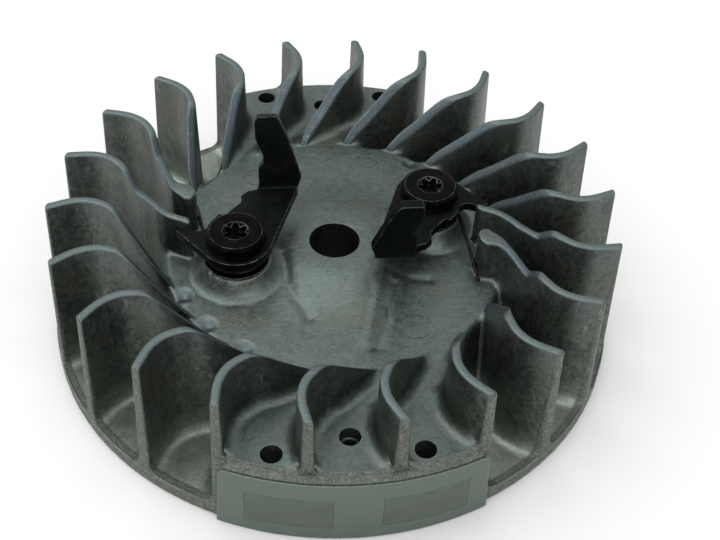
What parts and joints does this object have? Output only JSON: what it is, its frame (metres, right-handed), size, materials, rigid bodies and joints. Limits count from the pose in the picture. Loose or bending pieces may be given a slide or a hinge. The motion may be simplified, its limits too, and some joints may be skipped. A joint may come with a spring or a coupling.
{
  "type": "flywheel",
  "caption": "Cast fan flywheel for a small engine, with curved cooling fins, an ignition magnet at the rim, a balancing boss and sprung starter pawls on shoulder screws.",
  "frame": {"origin": "on the crank axis at the level of the rim's underside", "axes": "+Z along the crank axis towards the starter side, where the pawls are; the magnet face looks along -Y"},
  "size_m": [0.128, 0.129, 0.0449],
  "materials": {
    "casting": "as cast, satin",
    "pole_steel": "turned flush with the casting",
    "black_steel": "black oxide, worn on the edges",
    "spring_steel": "dark drawn wire",
    "magnet": "sintered"
  },
  "bodies": {
    "flywheel": {"flywheel_disc": "casting", "fin_01": "casting", "fin_02": "casting", "fin_03": "casting", "fin_04": "casting", "fin_05": "casting", "fin_06": "casting", "fin_07": "casting", "fin_08": "casting", "fin_09": "casting", "fin_10": "casting", "fin_11": "casting", "fin_12": "casting", "fin_13": "casting", "fin_14": "casting", "fin_15": "casting", "fin_16": "casting", "fin_17": "casting", "fin_18": "casting", "fin_19": "casting", "fin_20": "casting", "fin_21": "casting", "fin_22": "casting", "left_pole_shoe": "pole_steel", "right_pole_shoe": "pole_steel", "magnet": "magnet", "left_pawl_screw": "black_steel", "left_pawl_bush": "black_steel", "left_pawl_spring": "spring_steel", "right_pawl_screw": "black_steel", "right_pawl_bush": "black_steel", "right_pawl_spring": "spring_steel"},
    "left_pawl": {"left_pawl": "black_steel"},
    "right_pawl": {"right_pawl": "black_steel"}
  },
  "joints": [
    {"name": "left_pawl_pivot", "type": "hinge", "parent": "flywheel", "child": "left_pawl", "pos_m": [-0.022, -0.0065, 0.0269], "axis": [0, 0, 1], "range_deg": [0, 35], "stiffness_Nm_per_rad": 0.01, "springref_deg": -28.65, "deforming": ["left_pawl_spring"]},
    {"name": "right_pawl_pivot", "type": "hinge", "parent": "flywheel", "child": "right_pawl", "pos_m": [0.022, 0.0065, 0.0269], "axis": [0, 0, 1], "range_deg": [0, 35], "stiffness_Nm_per_rad": 0.01, "springref_deg": -28.65, "deforming": ["right_pawl_spring"]}
  ]
}
